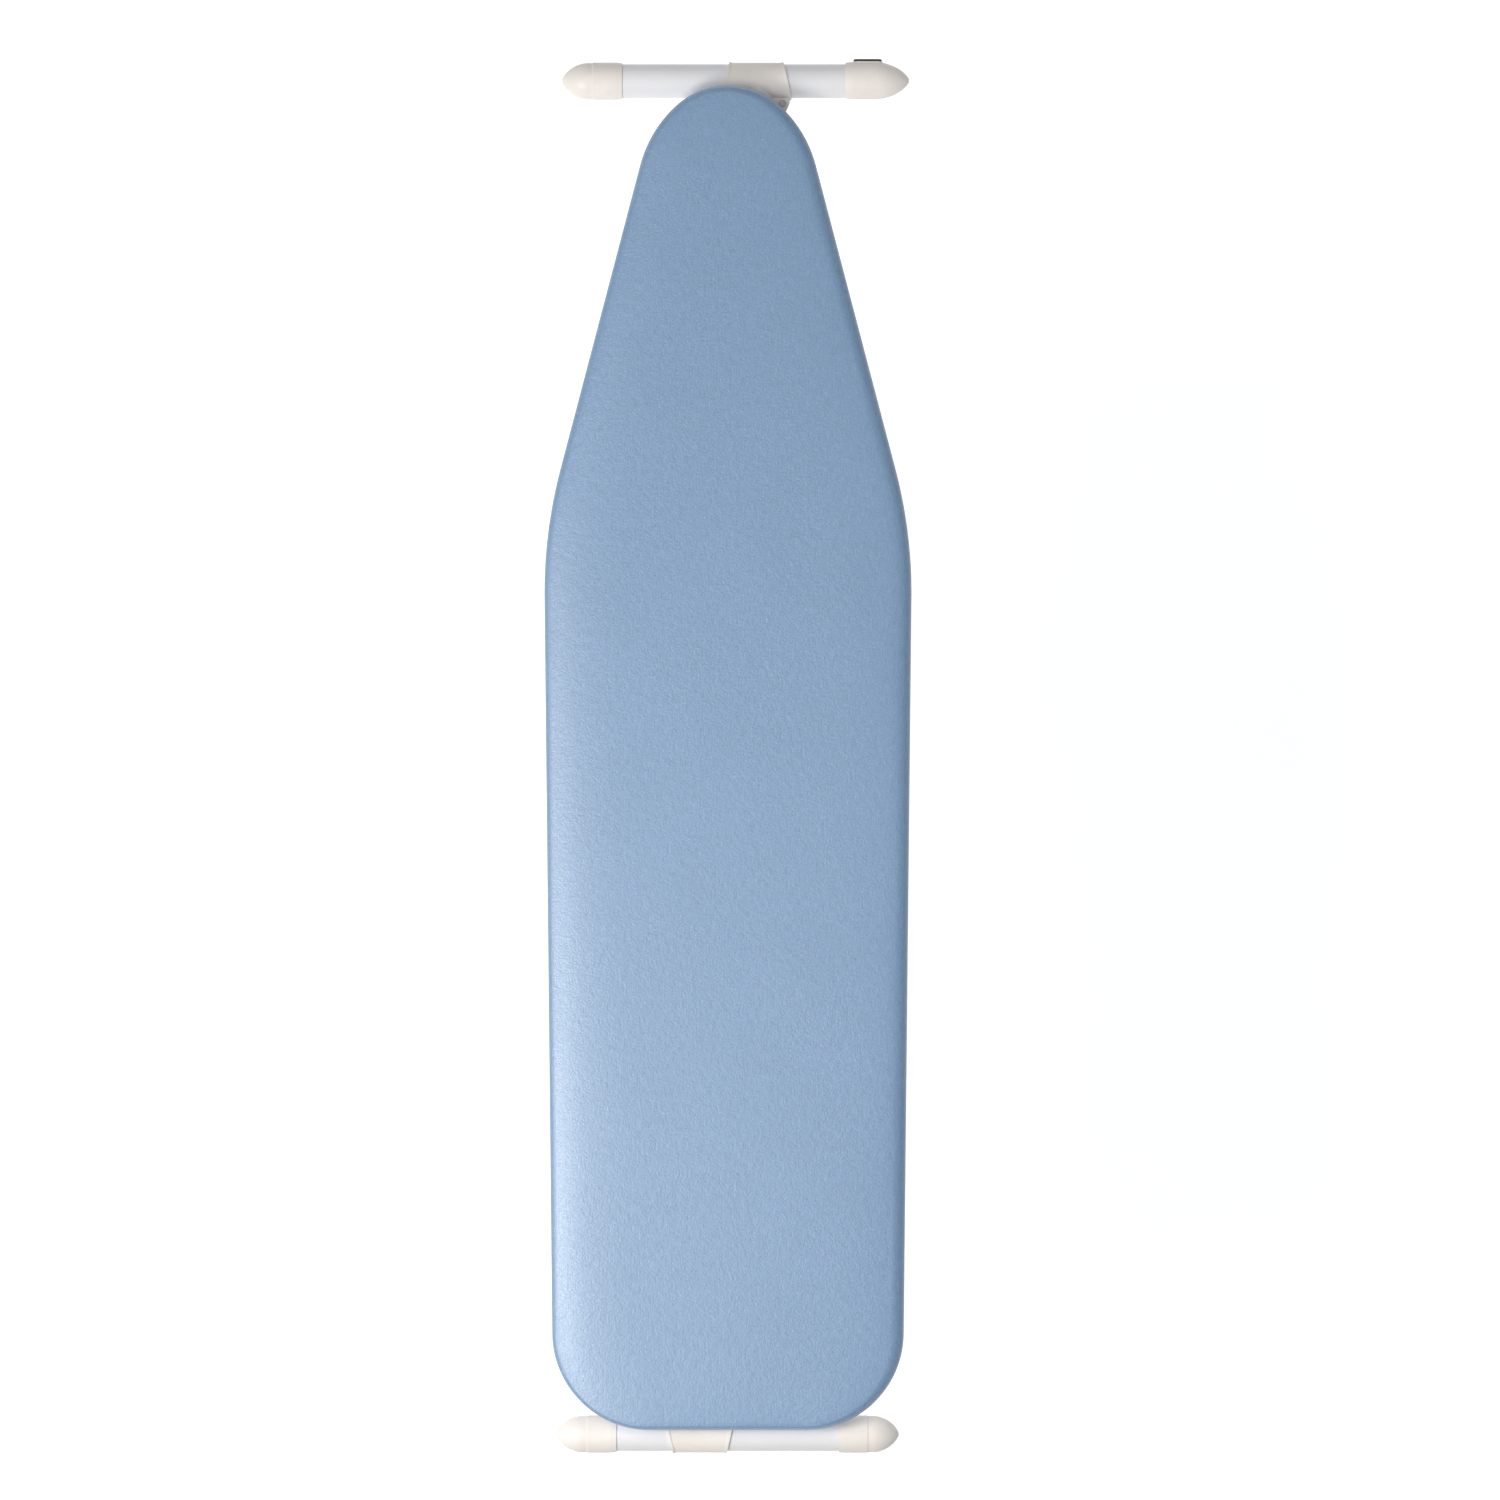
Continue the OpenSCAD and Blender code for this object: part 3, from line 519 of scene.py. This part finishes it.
def edge_profile(top, bottom):
    """Rolled edge, side and hem as (inset from the outline, height), from the top inwards."""
    rows = []
    for i in range(ROLL_STEPS + 1):
        a = math.pi / 2 * i / ROLL_STEPS
        rows.append((ROLL_W * (1 - math.sin(a)), top - ROLL_H * (1 - math.cos(a))))
    side_top, side_low = rows[-1][1] - FALL_H, bottom + TURN_R
    rows += [(SIDE_TUCK * t, side_top + (side_low - side_top) * t) for t in (0.35, 0.7, 1.0)]
    for i in range(1, TURN_STEPS + 1):
        a = math.pi / 2 * i / TURN_STEPS
        rows.append((SIDE_TUCK + TURN_R * (1 - math.cos(a)), side_low - TURN_R * math.sin(a)))
    start = rows[-1][0]
    rows += [(start + (HEM_W - start) * i / HEM_STEPS, bottom) for i in range(1, HEM_STEPS + 1)]
    return rows


def profile_lengths(rows):
    """Distance along the cloth from the first row to each row."""
    total, out = 0.0, [0.0]
    for (d0, z0), (d1, z1) in zip(rows, rows[1:]):
        total += math.hypot(d1 - d0, z1 - z0)
        out.append(total)
    return out


def gather(distance, curvature):
    """Height of the hem's gathers at a distance along the edge, from 0 to 1, most where the edge turns."""
    slow = noise.noise(Vector((distance * 9, 3.1, 0)))
    wave = math.sin(2 * math.pi * distance / GATHER_PITCH + 2.2 * slow)
    other = math.sin(2 * math.pi * distance / SLOW_GATHER_PITCH + 3.0 * slow + 1.0)
    strength = 0.3 + 0.7 * curvature
    return strength * (0.5 + 0.34 * wave + 0.16 * other)


def soft_waves(x, y):
    """Slight waves of the cloth over the pad, in metres."""
    long_wave = noise.noise(Vector((x * 6, y * 4, 1.7)))
    short_wave = noise.noise(Vector((x * 22, y * 15, 5.2)))
    return (0.28 * long_wave + 0.10 * short_wave) * MM


def outline_distances(outline):
    total, out = 0.0, []
    for i, (point, _) in enumerate(outline):
        out.append(total)
        total += (outline[(i + 1) % len(outline)][0] - point).length
    return out


TURNING_REACH = 12          # points on each side that an average of the turning takes in


def outline_turning(outline):
    """How sharply the outline turns at each point, from 0 on a straight side to 1 at the nose."""
    out = []
    for i, (_, normal) in enumerate(outline):
        before, after = outline[i - 1][1], outline[(i + 1) % len(outline)][1]
        out.append(min(1.0, (after - before).length / (2 * OUTLINE_STEP) * NOSE_R))
    window = range(-TURNING_REACH, TURNING_REACH + 1)
    return [sum(out[(i + k) % len(out)] for k in window) / len(window) for i in range(len(out))]


def inset_at_start(normal):
    return ROLL_W * roll_share(normal)


def skirt_points(outline, rows):
    """Rings from the roll's start to the hem's inner edge, with each point's place on the flat cut."""
    distances, turning = outline_distances(outline), outline_turning(outline)
    along = profile_lengths(rows)
    fall = crown_map(outline)
    edge_falls = [fall(p) for p, _ in outline]
    points, cut = [], []
    for k, ((row_inset, z), length) in enumerate(zip(rows, along)):
        below_roll = k > ROLL_STEPS
        share = max(0.0, (row_inset - FLAT_HEM_W) / (HEM_W - FLAT_HEM_W)) if below_roll else 0.0
        for (p, n), s, turn, edge_fall in zip(outline, distances, turning, edge_falls):
            inset, lift = row_inset, GATHER_H * gather(s, turn) * share
            if not below_roll:
                inset *= roll_share(n)
                lift = (z - rows[0][1]) * (FALL_H - edge_fall) / ROLL_H - fall(p - n * inset)
            side_pucker = 0.0
            if below_roll and share == 0.0:
                side_pucker = SIDE_PUCKER * gather(s, turn) * turn
            q = p - n * (inset + side_pucker)
            wave = soft_waves(q.x, q.y) if length == 0.0 else 0.0
            points.append((q.x, q.y, z + lift + wave))
            flat = p + n * (length - inset_at_start(n))
            cut.append((flat.x, flat.y))
    return points, cut


def covered_sheet(name, rows):
    """A sheet over the whole board: middle line, top rings, rolled edge and hem."""
    low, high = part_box("cover")
    outline = board_outline()
    count = len(outline)
    points, cut = skirt_points(outline, rows)
    inner = []
    fall = crown_map(outline)
    for k in range(INNER_STEPS):
        t = (k / INNER_STEPS) ** 0.85
        for p, n in outline:
            spine, start = spine_point(p, low, high), p - n * inset_at_start(n)
            q = spine.lerp(start, t)
            inner.append((q.x, q.y, high.z + CROWN_RISE - fall(q) + soft_waves(q.x, q.y)))
    uvs = [(x, y) for x, y, _ in inner] + cut
    obj = mesh_object(name, inner + points, ring_faces(INNER_STEPS + len(rows), count), uvs=uvs)
    merge_close(obj, WELD)
    return obj


def cut_area(rows):
    """Area and box of the flat piece of cloth that the cover was cut from."""
    reach = profile_lengths(rows)[-1] - rows[0][0]
    cut = [p + n * reach for p, n in board_outline()]
    pairs = list(zip(cut, cut[1:] + cut[:1]))
    area = abs(sum(a.x * b.y - b.x * a.y for a, b in pairs)) / 2
    width = max(p.x for p in cut) - min(p.x for p in cut)
    length = max(p.y for p in cut) - min(p.y for p in cut)
    return area, (width, length)


def hem_edge_points(rows):
    """The hem's inner edge, with its gathers."""
    outline = board_outline()
    points, _ = skirt_points(outline, rows)
    return [Vector(p) for p in points[-len(outline):]], outline


CASING_R = 2.1 * MM
CASING_LIFT = 0.3 * MM
CASING_SIDES = 10


def make_hem_casing(rows, materials):
    """The sewn tube at the hem's inner edge that holds the elastic."""
    edge, outline = hem_edge_points(rows)
    distances = outline_distances(outline)
    points, uvs = [], []
    for k in range(CASING_SIDES):
        a = 2 * math.pi * k / CASING_SIDES
        for centre, (p, n), s in zip(edge, outline, distances):
            r = CASING_R * (1 + 0.13 * noise.noise(Vector((s * 260, k * 0.7, 0))))
            middle = centre + Vector((-n.x, -n.y, 0)) * CASING_R * 0.8 + Vector((0, 0, CASING_LIFT))
            across, up = Vector((n.x, n.y, 0)), Vector((0, 0, r * math.sin(a)))
            points.append(middle + across * r * math.cos(a) + up)
            uvs.append((s, a * CASING_R))
    count = len(edge)
    faces = [(k * count + i, k * count + (i + 1) % count,
              (k + 1) % CASING_SIDES * count + (i + 1) % count, (k + 1) % CASING_SIDES * count + i)
             for k in range(CASING_SIDES) for i in range(count)]
    obj = mesh_object("hem_casing", [tuple(p) for p in points], faces, uvs=uvs)
    merge_close(obj, 1e-7)
    obj.data.materials.append(materials["cover_cloth"])
    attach(obj, "board")
    return obj


PAD_GAP = 1.0 * MM          # below the cloth's outer face
PAD_INSET = 1.3 * MM
PAD_LIFT = 0.15 * MM        # above the panel
PAD_ROLL_STEPS = 8
PAD_RINGS = 9


def make_pad(materials):
    """Felt pad with a soft rolled edge, just under the cloth."""
    pad_low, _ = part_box("foam_pad")
    low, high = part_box("cover")
    bottom = pad_low.z + PAD_LIFT
    rise = high.z + CROWN_RISE - PAD_GAP - bottom
    outline = board_outline()
    count = len(outline)
    spines = [spine_point(p, low, high) for p, _ in outline]
    fall = crown_map(outline)

    def bottom_ring(share):
        return [(*spine.lerp(p - n * PAD_INSET, share), bottom)
                for spine, (p, n) in zip(spines, outline)]

    def top_ring(share):
        made = []
        for spine, (p, n) in zip(spines, outline):
            q = spine.lerp(p - n * (PAD_INSET + inset_at_start(n)), share)
            made.append((*q, bottom + rise - fall(q)))
        return made

    def roll_ring(angle):
        made = []
        for p, n in outline:
            q = p - n * (PAD_INSET + inset_at_start(n) * (1 - math.sin(angle)))
            made.append((*q, bottom + (rise - fall(q)) * math.cos(angle)))
        return made

    points = []
    for k in range(PAD_RINGS):
        points += top_ring(k / PAD_RINGS)
    for i in range(PAD_ROLL_STEPS + 1):
        points += roll_ring(math.pi / 2 * i / PAD_ROLL_STEPS)
    for k in range(PAD_RINGS - 1, -1, -1):
        points += bottom_ring(k / PAD_RINGS)
    pad = mesh_object("felt_pad", points, ring_faces(2 * PAD_RINGS + PAD_ROLL_STEPS + 1, count))
    merge_close(pad, WELD)
    pad.data.materials.append(materials["foam"])
    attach(pad, "board")
    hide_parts("foam_pad")
    return pad


def make_cover(materials):
    low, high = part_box("cover")
    rows = edge_profile(high.z + CROWN_RISE, low.z)
    cover = covered_sheet("cloth_cover", rows)
    apply_modifier(cover, "SOLIDIFY", thickness=CLOTH_T, offset=-1.0)
    cover.data.materials.append(materials["cover_cloth"])
    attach(cover, "board")
    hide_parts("cover")
    casing = make_hem_casing(rows, materials)
    area, flat = cut_area(rows)
    return cover


# ---------------------------------------------------------------- build

make_camera()
make_studio()
make_floor()
MATERIALS = make_materials()
finish_cad_nodes(MATERIALS)
make_pad(MATERIALS)
make_cover(MATERIALS)
